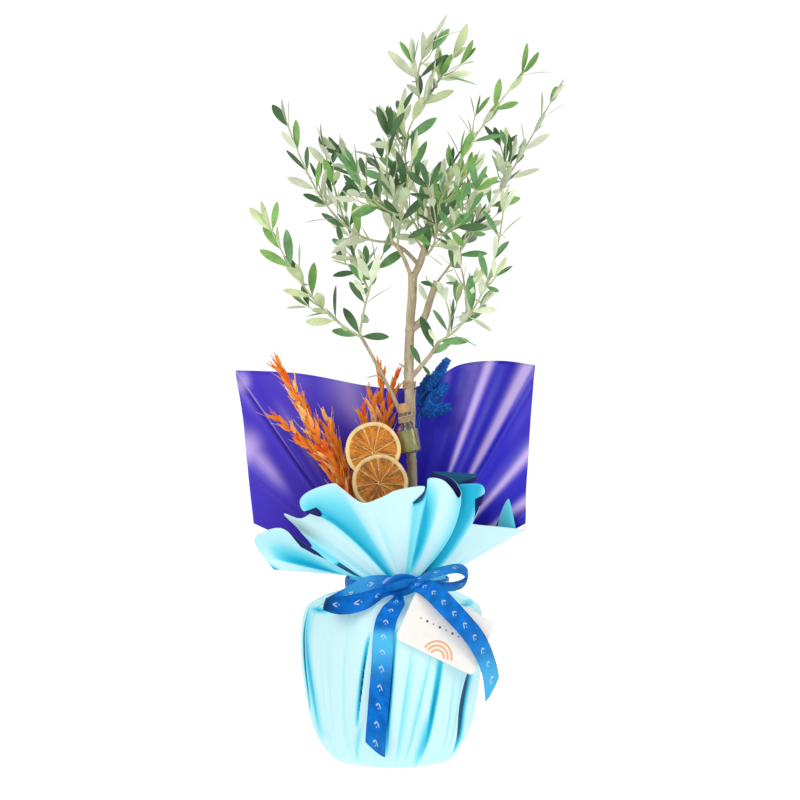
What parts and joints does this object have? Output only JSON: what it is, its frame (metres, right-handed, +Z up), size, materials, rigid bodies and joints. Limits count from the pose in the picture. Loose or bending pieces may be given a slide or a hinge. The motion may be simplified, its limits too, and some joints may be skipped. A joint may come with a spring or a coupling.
{
  "type": "potted olive tree",
  "caption": "Young olive tree in a nursery pot, gift-wrapped in gathered film with a ribbon bow, a card tag, dried trimmings and a small corked bottle.",
  "frame": {"origin": "middle of the bag's flat underside, under the pot, where the plant stands", "axes": "+Z up along the trunk, -Y towards the front with the bow and the tag, +X to the viewer's right"},
  "size_m": [0.3365, 0.2287, 0.7425],
  "materials": {
    "pot_plastic": "satin",
    "soil": "matte",
    "aqua_film": "satin",
    "purple_film": "gloss",
    "satin_ribbon": "satin",
    "white_card": "matte",
    "dried_orange": "matte",
    "pale_wood": "matte",
    "dyed_oats": "matte",
    "dyed_seed_heads": "matte",
    "clear_glass": "gloss",
    "olive_oil": "gloss",
    "cork": "matte",
    "jute": "matte",
    "bark": "matte",
    "olive_leaf": "satin"
  },
  "bodies": {
    "root": {"nursery_pot": "pot_plastic", "soil": "soil", "wrap_bag": "aqua_film", "wrap_collar": "aqua_film", "backing_sheet": "purple_film", "ribbon_band": "satin_ribbon", "ribbon_knot": "satin_ribbon", "ribbon_loop_left": "satin_ribbon", "ribbon_loop_right": "satin_ribbon", "ribbon_tail_front": "satin_ribbon", "ribbon_tail_right": "satin_ribbon", "gift_tag": "white_card", "orange_slice_upper": "dried_orange", "orange_slice_lower": "dried_orange", "slice_pick_upper": "pale_wood", "slice_pick_lower": "pale_wood", "dried_oats_left": "dyed_oats", "dried_oats_right": "dyed_oats", "blue_head_1": "dyed_seed_heads", "blue_head_2": "dyed_seed_heads", "blue_head_3": "dyed_seed_heads", "blue_head_4": "dyed_seed_heads", "oil_bottle": "clear_glass", "oil_fill": "olive_oil", "bottle_cork": "cork", "jute_twine": "jute", "trunk": "bark", "bough_leader": "bark", "bough_left_upper": "bark", "bough_left_lower": "bark", "bough_stump": "bark", "bough_lower_right": "bark", "bough_lower_left": "bark", "foliage_top": "olive_leaf", "foliage_right_plume": "olive_leaf", "foliage_far_right": "olive_leaf", "foliage_lower_right": "olive_leaf", "foliage_upper_left": "olive_leaf", "foliage_center_left": "olive_leaf", "foliage_left_middle": "olive_leaf", "foliage_lower_left": "olive_leaf", "foliage_center": "olive_leaf", "foliage_right_middle": "olive_leaf", "foliage_back": "olive_leaf", "foliage_front": "olive_leaf"}
  },
  "joints": []
}
